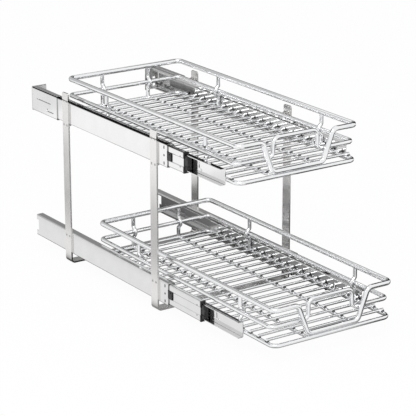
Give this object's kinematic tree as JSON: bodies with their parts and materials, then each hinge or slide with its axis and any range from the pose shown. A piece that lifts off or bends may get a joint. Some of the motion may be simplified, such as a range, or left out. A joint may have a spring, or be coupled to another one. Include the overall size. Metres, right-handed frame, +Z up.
{
  "type": "pull-out cabinet basket",
  "caption": "Two-tier pull-out wire basket unit: chrome baskets with dipped front handles on telescopic ball runners between U-shaped straps.",
  "frame": {"origin": "on the cabinet floor, at the centre of the four floor screw holes", "axes": "+X to the right, -Y out of the cabinet towards the user, +Z up"},
  "size_m": [0.2906, 0.7554, 0.355],
  "materials": {
    "wire_chrome": "bright chrome plating",
    "strap_steel": "satin chrome plating",
    "pin_steel": "zinc-plated rivet steel",
    "runner_steel": "bright zinc plating",
    "cage_steel": "rolled sheet steel",
    "ball_steel": "polished steel",
    "black_plastic": "fine matt"
  },
  "bodies": {
    "frame": {"front_strap": "strap_steel", "rear_strap": "strap_steel", "strap_pins": "pin_steel", "upper_left_outer": "runner_steel", "upper_right_outer": "runner_steel", "lower_left_outer": "runner_steel", "lower_right_outer": "runner_steel", "upper_front_stops": "black_plastic", "lower_front_stops": "black_plastic"},
    "rear_brackets": {"left_rear_bracket": "runner_steel", "right_rear_bracket": "runner_steel"},
    "upper_middle": {"upper_left_middle": "runner_steel", "upper_right_middle": "runner_steel", "upper_bumpers": "black_plastic"},
    "upper_basket": {"upper_left_inner": "runner_steel", "upper_right_inner": "runner_steel", "upper_top_rail": "wire_chrome", "upper_handle_rail": "wire_chrome", "upper_base_frame": "wire_chrome", "upper_support_wires": "wire_chrome", "upper_floor_wires": "wire_chrome", "upper_side_uprights": "wire_chrome", "upper_back_uprights": "wire_chrome"},
    "upper_outer_cage": {"upper_outer_cages": "cage_steel", "upper_outer_balls": "ball_steel"},
    "upper_inner_cage": {"upper_inner_cages": "cage_steel", "upper_inner_balls": "ball_steel"},
    "lower_middle": {"lower_left_middle": "runner_steel", "lower_right_middle": "runner_steel", "lower_bumpers": "black_plastic"},
    "lower_basket": {"lower_left_inner": "runner_steel", "lower_right_inner": "runner_steel", "lower_top_rail": "wire_chrome", "lower_handle_rail": "wire_chrome", "lower_base_frame": "wire_chrome", "lower_support_wires": "wire_chrome", "lower_floor_wires": "wire_chrome", "lower_side_uprights": "wire_chrome", "lower_back_uprights": "wire_chrome"},
    "lower_outer_cage": {"lower_outer_cages": "cage_steel", "lower_outer_balls": "ball_steel"},
    "lower_inner_cage": {"lower_inner_cages": "cage_steel", "lower_inner_balls": "ball_steel"}
  },
  "joints": [
    {"name": "upper_middle_slide", "type": "slide", "parent": "frame", "child": "upper_middle", "axis": [0, -1, 0], "range_m": [-0.0465, 0.182]},
    {"name": "upper_basket_slide", "type": "slide", "parent": "upper_middle", "child": "upper_basket", "axis": [0, -1, 0], "range_m": [-0.0525, 0.123]},
    {"name": "upper_outer_cage_roll", "type": "slide", "parent": "frame", "child": "upper_outer_cage", "axis": [0, -1, 0], "range_m": [-0.02375, 0.0915]},
    {"name": "upper_inner_cage_roll", "type": "slide", "parent": "upper_middle", "child": "upper_inner_cage", "axis": [0, -1, 0], "range_m": [-0.02675, 0.062]},
    {"name": "lower_middle_slide", "type": "slide", "parent": "frame", "child": "lower_middle", "axis": [0, -1, 0], "range_m": [-0.0965, 0.132]},
    {"name": "lower_basket_slide", "type": "slide", "parent": "lower_middle", "child": "lower_basket", "axis": [0, -1, 0], "range_m": [-0.108, 0.1205]},
    {"name": "lower_outer_cage_roll", "type": "slide", "parent": "frame", "child": "lower_outer_cage", "axis": [0, -1, 0], "range_m": [-0.04875, 0.0665]},
    {"name": "lower_inner_cage_roll", "type": "slide", "parent": "lower_middle", "child": "lower_inner_cage", "axis": [0, -1, 0], "range_m": [-0.0545, 0.06075]},
    {"name": "rear_bracket_slide", "type": "slide", "parent": "frame", "child": "rear_brackets", "axis": [0, 1, 0], "range_m": [0, 0.045]}
  ],
  "couplings": [
    {"joint": "upper_outer_cage_roll", "follows": "upper_middle_slide", "ratio": 0.5},
    {"joint": "upper_inner_cage_roll", "follows": "upper_basket_slide", "ratio": 0.5},
    {"joint": "lower_outer_cage_roll", "follows": "lower_middle_slide", "ratio": 0.5},
    {"joint": "lower_inner_cage_roll", "follows": "lower_basket_slide", "ratio": 0.5}
  ]
}
